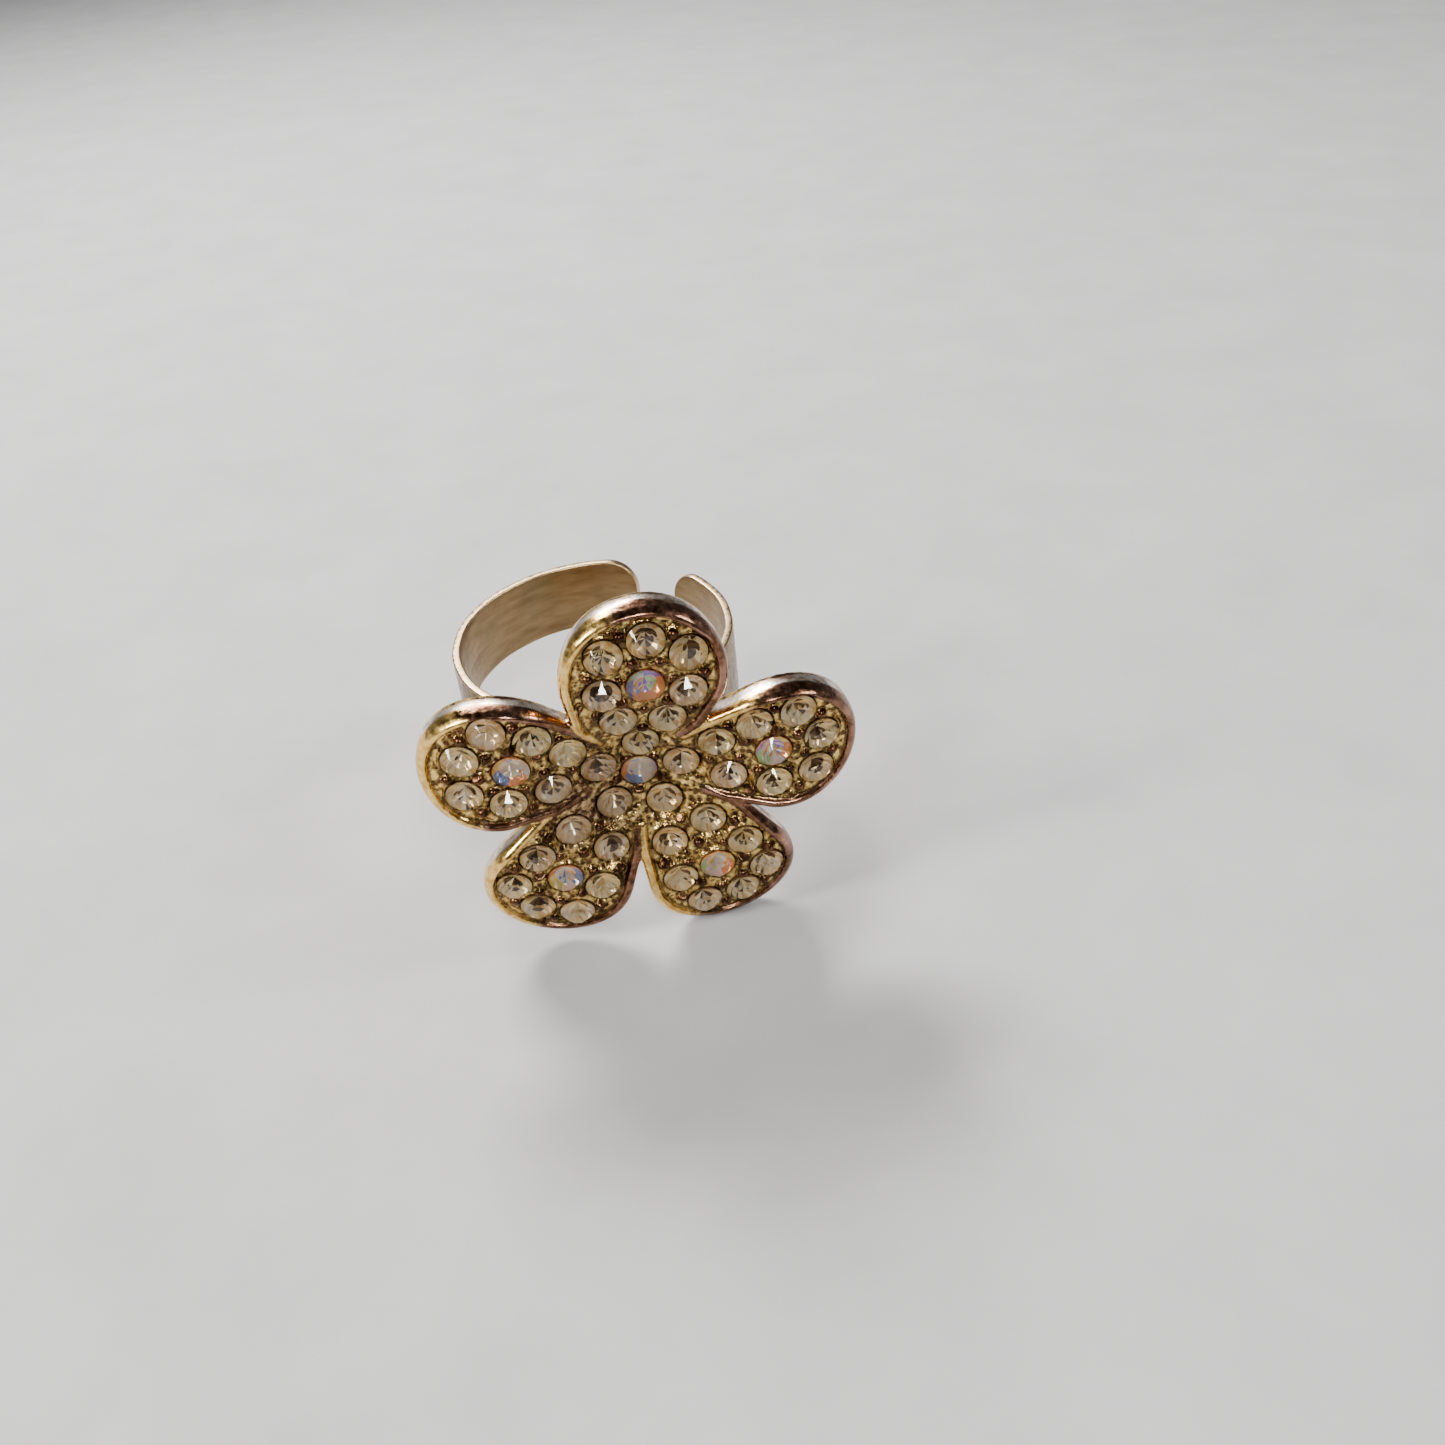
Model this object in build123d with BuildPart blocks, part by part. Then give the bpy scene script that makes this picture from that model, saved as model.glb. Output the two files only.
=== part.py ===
from build123d import *
import itertools
import math
import os

# Adjustable flower cocktail ring. Millimetres, +Z along the finger, flower facing -Y, origin at the
# centre of the finger bore.

# ---- shank: a thin flat strap bent round the finger, open at the back ----
FINGER_RADIUS = 8.65
STRAP_THICKNESS = 0.55
STRAP_WIDTH = 5.0
STRAP_RADIUS = FINGER_RADIUS + STRAP_THICKNESS
STRAP_MIDDLE = FINGER_RADIUS + STRAP_THICKNESS / 2
FRONT = 270.0
BEND_ANGLE = 48.0
GAP_CENTRE = 55.0
GAP_ANGLE = 20.0
KNUCKLE_CLEARANCE = 0.03
TIP_CORNER = 1.9

# ---- flower: its plane stands in front of the finger, turned and nodding a little ----
FLOWER_OFFSET_X = 1.3
FLOWER_STANDOFF = 12.0
FLOWER_TURN = -6.8
FLOWER_NOD = 4.1
PETAL_NAMES = ("top", "right", "lower_right", "lower_left", "left")
PETAL_PITCH = 360 / len(PETAL_NAMES)

# ---- pave floor: rises from the middle in a smooth wave and droops at the petals' tips ----
WAVE_HEIGHT = 2.15
WAVE_RADIUS = 9.1
WAVE_REACH = 14.0
WAVE_STEPS = 14
FLOOR_RISE = 0.05
RIM_HEIGHT = 0.4
RIM_WIDTH = 0.55
RIM_START_RADIUS = 3.3
VALLEY_RADIUS = 5.6

# ---- back of the casting: flat behind the middle, hollowed forward under the petals ----
CASTING_THICKNESS = 1.55
BACK_FLAT_RADIUS = 4.1
HOLLOW_RADIUS = 8.0
HOLLOW_LEVEL = 0.35
BACK_EDGE_LEVEL = -0.3
BACK_EDGE_SLOPE = -0.35
BLANK_DEPTH = 4.0

# ---- stones: round, pointed back, one size ----
STONE_RADIUS = 1.08
TABLE_RADIUS = 0.62
CROWN_HEIGHT = 0.4
GIRDLE_HEIGHT = 0.08
PAVILION_DEPTH = 0.8
CULET_RADIUS = 0.25
STONE_SIDES = 16
STONE_TURN = 17.0
SEAT_CLEARANCE = 0.03
SEAT_RADIUS = STONE_RADIUS + SEAT_CLEARANCE
SEAT_HEADROOM = 0.6
SEAT_MARGIN = 0.27
SEAT_TILT = 0.16
SEAT_TILT_RADIUS = 7.6
COLLAR_WIDTH = 0.13
COLLAR_RISE = 0.06
COLLAR_DEPTH = 0.7
PETAL_LOBE_CENTRE = 8.55
PETAL_LOBE_FLOOR_RADIUS = 4.02
BEAD_RADIUS = 0.32
BEAD_SINK = 0.05
NEIGHBOUR_DISTANCE = 3.4

# Stone places in one petal: radial and sideways distances from the flower's middle.
PETAL_STONES = {
    "root": (2.6, 0.0),
    "inner_left": (5.03, -1.42),
    "inner_right": (5.03, 1.42),
    "aurora": (8.03, 0.0),
    "flank_left": (7.48, -2.42),
    "flank_right": (7.48, 2.42),
    "tip_left": (10.1, -2.35),
    "tip_middle": (11.0, 0.0),
    "tip_right": (10.1, 2.35),
}

# ---- mounting pad between the flower's back and the strap ----
PAD_RADIUS = 3.8
PAD_FACE = -CASTING_THICKNESS
PAD_BACK = -3.1


STANDING = (Align.CENTER, Align.CENTER, Align.MIN)
HANGING = (Align.CENTER, Align.CENTER, Align.MAX)


def cos(angle):
    return math.cos(math.radians(angle))


def sin(angle):
    return math.sin(math.radians(angle))


flower = Plane(
    origin=(FLOWER_OFFSET_X, -FLOWER_STANDOFF, 0),
    x_dir=(cos(FLOWER_TURN), -sin(FLOWER_NOD) * sin(FLOWER_TURN), sin(FLOWER_TURN) * cos(FLOWER_NOD)),
    z_dir=(0, -cos(FLOWER_NOD), -sin(FLOWER_NOD)),
)
meridian = Plane(origin=flower.origin, x_dir=flower.x_dir, z_dir=-flower.y_dir)
flower_axis = Axis(flower.origin, flower.z_dir)


def wave(radius):
    """Height of the stones' girdles above the flower's plane."""
    return WAVE_HEIGHT * math.sin(math.pi * radius / (2 * WAVE_RADIUS)) ** 2


def seat_tilt(radius):
    """Slope of a stone: leaning in near the middle and out at the petals' tips, less than the floor."""
    return SEAT_TILT * math.sin(math.pi * radius / SEAT_TILT_RADIUS)


def petal_point(petal, radial, sideways):
    """Flower coordinates of a place in a petal; petals go clockwise from the top."""
    angle = 90 - petal * PETAL_PITCH
    return (
        radial * cos(angle) + sideways * sin(angle),
        radial * sin(angle) - sideways * cos(angle),
    )


def seat_plane(x, y):
    """Plane of the girdle of a stone whose middle is on the pave surface at flower coordinates x, y."""
    radius = math.hypot(x, y)
    slope = seat_tilt(radius)
    outward = (x / radius, y / radius) if radius > 0 else (1, 0)
    origin = flower.origin + flower.x_dir * x + flower.y_dir * y + flower.z_dir * wave(radius)
    out_dir = flower.x_dir * outward[0] + flower.y_dir * outward[1]
    normal = flower.z_dir - out_dir * slope
    return Plane(origin=origin, x_dir=out_dir + flower.z_dir * slope, z_dir=normal)


def petal_outline(petal, rim):
    """Teardrop petal: the hull of a large outer lobe and a circle round each of the inner stones."""
    with Locations(petal_point(petal, PETAL_LOBE_CENTRE, 0)):
        Circle(PETAL_LOBE_FLOOR_RADIUS + rim)
    for stone_name in ("root", "inner_left", "inner_right"):
        with Locations(petal_point(petal, *PETAL_STONES[stone_name])):
            Circle(STONE_RADIUS + SEAT_MARGIN + rim)
    make_hull()


def wave_profile(raise_by):
    """Half section of the dished flower: a waved top over a back that is flat behind the middle."""
    with BuildSketch(meridian) as section:
        with BuildLine():
            radii = [WAVE_REACH * step / WAVE_STEPS for step in range(WAVE_STEPS + 1)]
            top = Spline(*[(radius, wave(radius) + raise_by) for radius in radii])
            back = Spline(
                (BACK_FLAT_RADIUS, -CASTING_THICKNESS),
                (HOLLOW_RADIUS, HOLLOW_LEVEL),
                (WAVE_REACH, BACK_EDGE_LEVEL),
                tangents=((1, 0), (1, BACK_EDGE_SLOPE)),
            )
            Line(top @ 1, back @ 1)
            Polyline(back @ 0, (0, -CASTING_THICKNESS), top @ 0)
        make_face()
    return section.sketch


# ---- flower casting ----
seats = [("centre_aurora", 0.0, 0.0)]
for petal, petal_name in enumerate(PETAL_NAMES):
    for stone_name, (radial, sideways) in PETAL_STONES.items():
        x, y = petal_point(petal, radial, sideways)
        seats.append((f"{petal_name}_petal_{stone_name}", x, y))

outlines = []
floors = []
for petal in range(len(PETAL_NAMES)):
    with BuildSketch(flower.offset(-BLANK_DEPTH)) as outline:
        petal_outline(petal, RIM_WIDTH)
    outlines.append(outline.sketch)
    with BuildSketch(flower.offset(-BLANK_DEPTH)) as floor:
        petal_outline(petal, 0)
    floors.append(floor.sketch)

with BuildPart() as flower_body:
    with BuildSketch(flower.offset(-BLANK_DEPTH)):
        Circle(VALLEY_RADIUS)
    extrude(amount=2 * BLANK_DEPTH)
    for outline in outlines:
        extrude(outline, amount=2 * BLANK_DEPTH)
    revolve(wave_profile(FLOOR_RISE), axis=flower_axis, mode=Mode.INTERSECT)

with BuildPart() as rims:
    for outline in outlines:
        extrude(outline, amount=2 * BLANK_DEPTH)
    for floor in floors:
        extrude(floor, amount=2 * BLANK_DEPTH, mode=Mode.SUBTRACT)
    with BuildSketch(flower.offset(-BLANK_DEPTH)):
        Circle(RIM_START_RADIUS)
    extrude(amount=2 * BLANK_DEPTH, mode=Mode.SUBTRACT)
    revolve(wave_profile(RIM_HEIGHT), axis=flower_axis, mode=Mode.INTERSECT)


def bead_places():
    """Middle of every three stones that lie next to each other."""
    places = [(x, y) for _, x, y in seats]
    for trio in itertools.combinations(places, 3):
        if all(math.dist(a, b) < NEIGHBOUR_DISTANCE for a, b in itertools.combinations(trio, 2)):
            yield sum(x for x, _ in trio) / 3, sum(y for _, y in trio) / 3


seat_planes = [seat_plane(x, y) for _, x, y in seats]
collar_planes = [place.offset(COLLAR_RISE) for place in seat_planes]
bead_planes = [seat_plane(x, y).offset(FLOOR_RISE - BEAD_SINK) for x, y in bead_places()]

with BuildPart() as flower_casting:
    add(flower_body.part)
    add(rims.part)
    with Locations(*collar_planes):
        Cylinder(SEAT_RADIUS + COLLAR_WIDTH, COLLAR_DEPTH, align=HANGING)
    with Locations(*bead_planes):
        Sphere(BEAD_RADIUS)
    with Locations(*seat_planes):
        Cylinder(SEAT_RADIUS, SEAT_HEADROOM, align=STANDING, mode=Mode.SUBTRACT)
        Cone(
            CULET_RADIUS + SEAT_CLEARANCE,
            SEAT_RADIUS,
            PAVILION_DEPTH + SEAT_CLEARANCE,
            align=HANGING,
            mode=Mode.SUBTRACT,
        )


# ---- mounting pad: a disc whose back is hollowed to the strap's curve ----
with BuildPart() as mounting_pad:
    with BuildSketch(flower.offset(PAD_BACK)):
        Circle(PAD_RADIUS)
    extrude(amount=PAD_FACE - PAD_BACK)
    Cylinder(STRAP_RADIUS, 4 * PAD_RADIUS, mode=Mode.SUBTRACT)


# ---- strap: the soldered front and two arms that bend ----
def strap_length(start, end):
    """Stretch of the flat strap from one angle to the other."""
    with BuildSketch(Plane.XY.offset(-STRAP_WIDTH / 2)) as section:
        with BuildLine():
            inner = CenterArc((0, 0), FINGER_RADIUS, start, end - start)
            outer = CenterArc((0, 0), STRAP_RADIUS, start, end - start)
            Line(inner @ 0, outer @ 0)
            Line(inner @ 1, outer @ 1)
        make_face()
    return section.sketch


def bend_place(angle):
    return STRAP_MIDDLE * cos(angle), STRAP_MIDDLE * sin(angle)


right_bend = FRONT - 360 + BEND_ANGLE
left_bend = FRONT - BEND_ANGLE
right_tip = GAP_CENTRE - GAP_ANGLE / 2
left_tip = GAP_CENTRE + GAP_ANGLE / 2

with BuildPart() as shank_front:
    extrude(strap_length(left_bend, FRONT + BEND_ANGLE), amount=STRAP_WIDTH)
    with Locations(bend_place(left_bend), bend_place(right_bend)):
        Cylinder(STRAP_THICKNESS / 2 + KNUCKLE_CLEARANCE, 2 * STRAP_WIDTH, mode=Mode.SUBTRACT)


def shank_arm(bend, tip):
    """Bending side of the strap: round at the bend, with the corners of its free end rounded off."""
    with BuildPart() as arm:
        extrude(strap_length(min(bend, tip), max(bend, tip)), amount=STRAP_WIDTH)
        free_end = Vector(STRAP_MIDDLE * cos(tip), STRAP_MIDDLE * sin(tip), 0)
        corners = (
            arm.edges()
            .filter_by(lambda edge: abs(edge.length - STRAP_THICKNESS) < 0.001)
            .sort_by(lambda edge: (edge.center() - free_end).length)[:2]
        )
        fillet(corners, TIP_CORNER)
        with Locations(bend_place(bend)):
            Cylinder(STRAP_THICKNESS / 2, STRAP_WIDTH)
    return arm


shank_left_arm = shank_arm(left_bend, left_tip)
shank_right_arm = shank_arm(right_bend, right_tip)


# ---- stones ----
def make_stone(place, turn):
    """Round stone on its seat plane: a many-sided crown with a flat table over a pointed back."""
    with BuildPart() as stone:
        with BuildSketch(place):
            RegularPolygon(STONE_RADIUS, STONE_SIDES, rotation=turn)
        extrude(amount=GIRDLE_HEIGHT)
        with BuildSketch(place.offset(GIRDLE_HEIGHT)):
            RegularPolygon(STONE_RADIUS, STONE_SIDES, rotation=turn)
        with BuildSketch(place.offset(GIRDLE_HEIGHT + CROWN_HEIGHT)):
            RegularPolygon(TABLE_RADIUS, STONE_SIDES, rotation=turn)
        loft(ruled=True)
        with BuildSketch(place):
            RegularPolygon(STONE_RADIUS, STONE_SIDES, rotation=turn)
        with BuildSketch(place.offset(-PAVILION_DEPTH)):
            RegularPolygon(CULET_RADIUS, STONE_SIDES, rotation=turn)
        loft(ruled=True)
    return stone


stones = {}
for number, (seat_name, _, _) in enumerate(seats):
    stones[f"{seat_name}_stone"] = make_stone(seat_planes[number], number * STONE_TURN)

# ---- write every piece ----
pieces = {
    "flower_casting": flower_casting,
    "mounting_pad": mounting_pad,
    "shank_front": shank_front,
    "shank_left_arm": shank_left_arm,
    "shank_right_arm": shank_right_arm,
    **stones,
}
os.makedirs("parts", exist_ok=True)
for name, piece in pieces.items():
    piece.part.label = name
    export_step(piece.part, f"parts/{name}.step")
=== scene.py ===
import itertools
import math

import bmesh
import bpy
import numpy as np
from mathutils import Matrix, Vector, noise


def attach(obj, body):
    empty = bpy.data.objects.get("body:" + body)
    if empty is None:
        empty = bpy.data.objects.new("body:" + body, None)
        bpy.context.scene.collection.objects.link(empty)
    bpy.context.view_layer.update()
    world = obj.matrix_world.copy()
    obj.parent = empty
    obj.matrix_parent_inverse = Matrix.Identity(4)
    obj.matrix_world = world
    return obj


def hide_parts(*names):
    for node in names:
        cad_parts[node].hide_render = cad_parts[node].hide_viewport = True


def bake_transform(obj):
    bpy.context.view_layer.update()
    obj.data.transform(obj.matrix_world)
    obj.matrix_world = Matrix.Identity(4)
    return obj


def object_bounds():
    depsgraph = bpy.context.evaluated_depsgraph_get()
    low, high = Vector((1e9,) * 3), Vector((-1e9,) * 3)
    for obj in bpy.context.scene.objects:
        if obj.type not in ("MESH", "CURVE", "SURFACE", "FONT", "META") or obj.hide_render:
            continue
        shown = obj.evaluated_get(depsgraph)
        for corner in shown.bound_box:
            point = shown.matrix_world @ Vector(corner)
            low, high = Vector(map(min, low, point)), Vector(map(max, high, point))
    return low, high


# Looks of the adjustable flower ring. Shapes are worked out in millimetres in the flower's own plane
# (u across, v up the top petal, w out of its face) and written in metres in the row frame.
MM = 0.001
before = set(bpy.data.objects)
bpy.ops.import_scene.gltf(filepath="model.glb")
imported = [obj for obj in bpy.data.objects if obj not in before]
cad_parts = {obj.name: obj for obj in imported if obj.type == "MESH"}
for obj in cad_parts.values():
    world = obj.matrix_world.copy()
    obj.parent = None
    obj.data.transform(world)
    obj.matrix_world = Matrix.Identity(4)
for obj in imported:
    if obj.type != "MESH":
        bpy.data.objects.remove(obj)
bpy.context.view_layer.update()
scene = bpy.context.scene
rng = np.random.default_rng(7)

# ---- flower's plane and layout, as in the frame ----
FLOWER_TURN = math.radians(-6.8)
FLOWER_NOD = math.radians(4.1)
FLOWER_ORIGIN = np.array((1.3, -12.0, 0.0))
PETALS = ("top", "right", "lower_right", "lower_left", "left")
PITCH = math.radians(72)
WAVE_HEIGHT = 2.15
WAVE_RADIUS = 9.1
STONE_RADIUS = 1.08
STONE_LIFT = 0.05
SEAT_TILT = 0.16
SEAT_TILT_RADIUS = 7.6
SEATS = {
    "root": (2.6, 0.0),
    "inner_left": (5.03, -1.42),
    "inner_right": (5.03, 1.42),
    "aurora": (8.03, 0.0),
    "flank_left": (7.48, -2.42),
    "flank_right": (7.48, 2.42),
    "tip_left": (10.1, -2.35),
    "tip_middle": (11.0, 0.0),
    "tip_right": (10.1, 2.35),
}
LOBE_CENTRE = 8.55
LOBE_RADIUS = 4.57
INNER_RADIUS = 1.9
RIM_WIDTH = 0.62
PAD_LEVEL = -1.55
BACK_FLAT_RADIUS = 3.8
BACK_BLEND = 3.2
PETAL_THICKNESS = 1.2
FLOOR_LIFT = 0.03
HEART_REACH = 3.8
STAINED_PLACE = (-3.4, -1.8)
STAINED_REACH = 2.9

U_AXIS = np.array((
    math.cos(FLOWER_TURN),
    -math.sin(FLOWER_NOD) * math.sin(FLOWER_TURN),
    math.sin(FLOWER_TURN) * math.cos(FLOWER_NOD),
))
W_AXIS = np.array((0.0, -math.cos(FLOWER_NOD), -math.sin(FLOWER_NOD)))
V_AXIS = np.cross(W_AXIS, U_AXIS)
FLOWER = np.stack((U_AXIS, V_AXIS, W_AXIS))


def to_row(points):
    """Flower coordinates in millimetres to row coordinates in metres."""
    return (FLOWER_ORIGIN + np.asarray(points, float) @ FLOWER) * MM


def wave(radius):
    return WAVE_HEIGHT * np.sin(math.pi * np.asarray(radius) / (2 * WAVE_RADIUS)) ** 2


def seat_tilt(radius):
    return SEAT_TILT * np.sin(math.pi * np.asarray(radius) / SEAT_TILT_RADIUS)


def smoothstep(low, high, value):
    t = np.clip((value - low) / (high - low), 0, 1)
    return t * t * (3 - 2 * t)


def stained(u, v):
    """How tarnished the face is; worst left of the middle."""
    distance = np.hypot(np.asarray(u) - STAINED_PLACE[0], np.asarray(v) - STAINED_PLACE[1])
    return np.exp(-((distance / STAINED_REACH) ** 2))


def back_level(radius):
    """Height of the casting's back: flat for the pad, then following the face under the petals."""
    radius = np.asarray(radius)
    spread = smoothstep(BACK_FLAT_RADIUS, BACK_FLAT_RADIUS + BACK_BLEND, radius)
    return PAD_LEVEL * (1 - spread) + (wave(radius) - PETAL_THICKNESS) * spread


def petal_uv(petal, radial, sideways):
    """Place in the flower's plane of a point given along and across one petal."""
    angle = math.pi / 2 - petal * PITCH
    radial = np.asarray(radial, float)
    sideways = np.asarray(sideways, float)
    return np.stack(
        (
            radial * math.cos(angle) + sideways * math.sin(angle),
            radial * math.sin(angle) - sideways * math.cos(angle),
        ),
        -1,
    )


def mesh_object(name, vertices, faces):
    mesh = bpy.data.meshes.new(name)
    mesh.from_pydata([tuple(v) for v in vertices], [], faces)
    mesh.update()
    mesh.polygons.foreach_set("use_smooth", [True] * len(mesh.polygons))
    thing = bpy.data.objects.new(name, mesh)
    scene.collection.objects.link(thing)
    return thing


def set_attribute(mesh, name, values):
    attribute = mesh.attributes.new(name, "FLOAT", "POINT")
    attribute.data.foreach_set("value", np.asarray(values, np.float32))


# ---- node helpers ----
class Nodes:
    """A short way to wire a Principled material."""

    def __init__(self, name):
        self.material = bpy.data.materials.new(name)
        self.material.use_nodes = True
        self.tree = self.material.node_tree
        self.shader = self.tree.nodes["Principled BSDF"]

    def add(self, kind, settings=None, **inputs):
        node = self.tree.nodes.new("ShaderNode" + kind)
        for key, value in (settings or {}).items():
            setattr(node, key, value)
        for key, value in inputs.items():
            self.join(node.inputs[key.replace("_", " ")], value)
        return node

    def join(self, socket, value):
        if isinstance(value, bpy.types.NodeSocket):
            self.tree.links.new(value, socket)
        else:
            socket.default_value = value

    def mix(self, factor, first, second, blend="MIX"):
        node = self.add("Mix", {"data_type": "RGBA", "blend_type": blend})
        self.join(node.inputs[0], factor)
        self.join(node.inputs[6], first)
        self.join(node.inputs[7], second)
        return node.outputs[2]

    def math(self, operation, first, second=0.0):
        node = self.add("Math", {"operation": operation})
        self.join(node.inputs[0], first)
        self.join(node.inputs[1], second)
        return node.outputs[0]

    def scale(self, value, low, high, to_low=0.0, to_high=1.0):
        node = self.add("MapRange", {"clamp": True})
        for index, item in enumerate((value, low, high, to_low, to_high)):
            self.join(node.inputs[index], item)
        return node.outputs[0]

    def noise(self, size_mm, detail=4.0, rough=0.6, stretch=None):
        place = self.add("TexCoord").outputs["Object"]
        if stretch:
            mapping = self.add("Mapping")
            self.join(mapping.inputs["Vector"], place)
            mapping.inputs["Scale"].default_value = stretch
            place = mapping.outputs[0]
        node = self.add("TexNoise")
        self.join(node.inputs["Vector"], place)
        node.inputs["Scale"].default_value = 1 / (size_mm * MM)
        node.inputs["Detail"].default_value = detail
        node.inputs["Roughness"].default_value = rough
        return node.outputs[0]

    def attribute(self, name):
        return self.add("Attribute", {"attribute_name": name}).outputs["Fac"]

    def bump(self, height, strength, distance_mm):
        node = self.add("Bump")
        self.join(node.inputs["Height"], height)
        node.inputs["Strength"].default_value = strength
        node.inputs["Distance"].default_value = distance_mm * MM
        self.join(self.shader.inputs["Normal"], node.outputs[0])

    def finish(self, **inputs):
        for key, value in inputs.items():
            self.join(self.shader.inputs[key.replace("_", " ")], value)
        return self.material


def rgb(red, green, blue):
    return (red, green, blue, 1.0)


# ---- materials ----
def casting_metal():
    """Gold-tone plating rubbed through to copper and silvery metal, with painted light on top: a pale painted
    highlight on walls that face up, gold painted as a highlight on rims that face left, and near-black
    painted shade in crevices, round stones and beads and in the crust's low spots; attributes say where each
    shows.
    """
    n = Nodes("flower_metal_wear_and_painted_light")
    patches = n.noise(2.2, 3, 0.55)
    grain = n.noise(0.4, 3, 0.55)
    lumps = n.noise(0.26, 1.0, 0.5)
    pave = n.attribute("pave")
    bead = n.attribute("bead")
    silver_and_highlight = n.attribute("silver_and_highlight")
    gilt_and_highlight = n.attribute("gilt_and_highlight")
    shade = n.attribute("shade")
    stain = n.attribute("stain")
    gold = n.mix(n.scale(grain, 0.35, 0.65), rgb(0.62, 0.36, 0.09), rgb(1.0, 0.68, 0.22))
    brown = n.mix(n.scale(grain, 0.35, 0.65), rgb(0.10, 0.045, 0.022), rgb(0.25, 0.125, 0.072))
    brown = n.mix(n.scale(patches, 0.5, 0.66, 0.0, 0.6), brown, rgb(0.46, 0.25, 0.175))
    # Brown rims turn gold where they face left: gold plating and a painted highlight from the left.
    wear_and_highlight = n.math("ADD", gilt_and_highlight, n.scale(grain, 0.3, 0.7, -0.2, 0.2))
    wear_and_highlight = n.math("ADD", wear_and_highlight, n.scale(patches, 0.3, 0.7, -0.25, 0.25))
    rim = n.mix(n.scale(wear_and_highlight, 0.3, 0.7), brown, gold)
    white = n.mix(n.scale(grain, 0.45, 0.65), rgb(0.86, 0.76, 0.66), rgb(0.42, 0.28, 0.19))
    # Pale plating on walls that face up: plating rubbed through and a painted highlight from above.
    bare_and_highlight = n.math("ADD", silver_and_highlight, n.scale(patches, 0.3, 0.7, -0.35, 0.35))
    rim = n.mix(n.scale(bare_and_highlight, 0.35, 0.6), rim, white)
    floor = n.mix(n.scale(grain, 0.35, 0.6), rgb(0.44, 0.25, 0.06), rgb(1.0, 0.70, 0.24))
    tarnish = n.mix(n.scale(grain, 0.35, 0.65), rgb(0.20, 0.11, 0.06), rgb(0.60, 0.40, 0.24))
    floor = n.mix(n.math("MULTIPLY", stain, 0.8), floor, tarnish)
    dark = n.mix(n.scale(patches, 0.4, 0.6), rgb(0.045, 0.02, 0.01), rgb(0.13, 0.06, 0.028))
    floor = n.mix(bead, floor, dark)
    colour = n.mix(pave, rim, floor)
    # Painted shade: near-black painted in at the rim's foot, round stones and beads and in the crust's low
    # spots.
    colour = n.mix(shade, colour, rgb(0.03, 0.014, 0.006))
    rough = n.mix(pave, n.scale(grain, 0.3, 0.7, 0.14, 0.3), n.scale(grain, 0.3, 0.7, 0.16, 0.34))
    rough = n.mix(silver_and_highlight, rough, rgb(0.34, 0.34, 0.34))
    height = n.math("MULTIPLY", lumps, n.scale(n.math("SUBTRACT", pave, bead), 0.0, 1.0, 0.12, 1.0))
    n.bump(height, 0.8, 0.09)
    return n.finish(Base_Color=colour, Metallic=1.0, Roughness=rough)


def strap_metal():
    """Thin gold plating outside, tarnished brown with a green bloom inside, bright on its edges."""
    n = Nodes("strap_plating")
    patches = n.noise(3.0, 3, 0.6)
    grain = n.noise(0.4, 3, 0.55)
    streaks = n.noise(0.6, 2, 0.5, stretch=(0.25, 0.25, 1.0))
    inside = n.attribute("inside")
    edge = n.attribute("edge")
    outside = n.mix(n.scale(patches, 0.35, 0.65), rgb(0.15, 0.085, 0.038), rgb(0.32, 0.21, 0.10))
    outside = n.mix(n.scale(grain, 0.5, 0.7), outside, rgb(0.11, 0.06, 0.025))
    inner = n.mix(n.scale(streaks, 0.3, 0.7), rgb(0.21, 0.135, 0.065), rgb(0.34, 0.235, 0.12))
    inner = n.mix(n.scale(patches, 0.5, 0.7, 0.0, 0.3), inner, rgb(0.17, 0.16, 0.075))
    colour = n.mix(inside, outside, inner)
    rubbed = n.math("ADD", edge, n.scale(grain, 0.3, 0.7, -0.3, 0.2))
    colour = n.mix(n.scale(rubbed, 0.4, 0.7), colour, rgb(0.55, 0.39, 0.22))
    rough = n.mix(inside, n.scale(grain, 0.3, 0.7, 0.2, 0.38), n.scale(grain, 0.3, 0.7, 0.28, 0.45))
    n.bump(n.math("ADD", streaks, n.math("MULTIPLY", grain, 0.5)), 0.35, 0.03)
    return n.finish(Base_Color=colour, Metallic=1.0, Roughness=rough)


def pad_metal():
    """Dull plating with darker pits."""
    n = Nodes("pad_plating")
    patches = n.noise(1.8, 3, 0.6)
    grain = n.noise(0.25, 5, 0.7)
    colour = n.mix(n.scale(patches, 0.35, 0.65), rgb(0.36, 0.25, 0.14), rgb(0.60, 0.47, 0.29))
    colour = n.mix(n.scale(grain, 0.5, 0.75), colour, rgb(0.2, 0.13, 0.07))
    n.bump(grain, 0.5, 0.05)
    return n.finish(Base_Color=colour, Metallic=1.0, Roughness=n.scale(grain, 0.3, 0.7, 0.35, 0.6))


def crown_glass(name, tint):
    """Cut glass over foil: faintly tinted, with a little grime on the surface."""
    n = Nodes(name)
    grime = n.noise(0.45, 4, 0.6)
    dull = n.attribute("dull")
    colour = n.mix(n.scale(grime, 0.5, 0.8, 0.0, 0.4), tint, rgb(0.86, 0.72, 0.50))
    rough = n.math("ADD", n.scale(grime, 0.5, 0.8, 0.0, 0.07), n.math("MULTIPLY", dull, 0.12))
    return n.finish(Base_Color=colour, Transmission_Weight=1.0, Roughness=rough, IOR=1.54)


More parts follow.
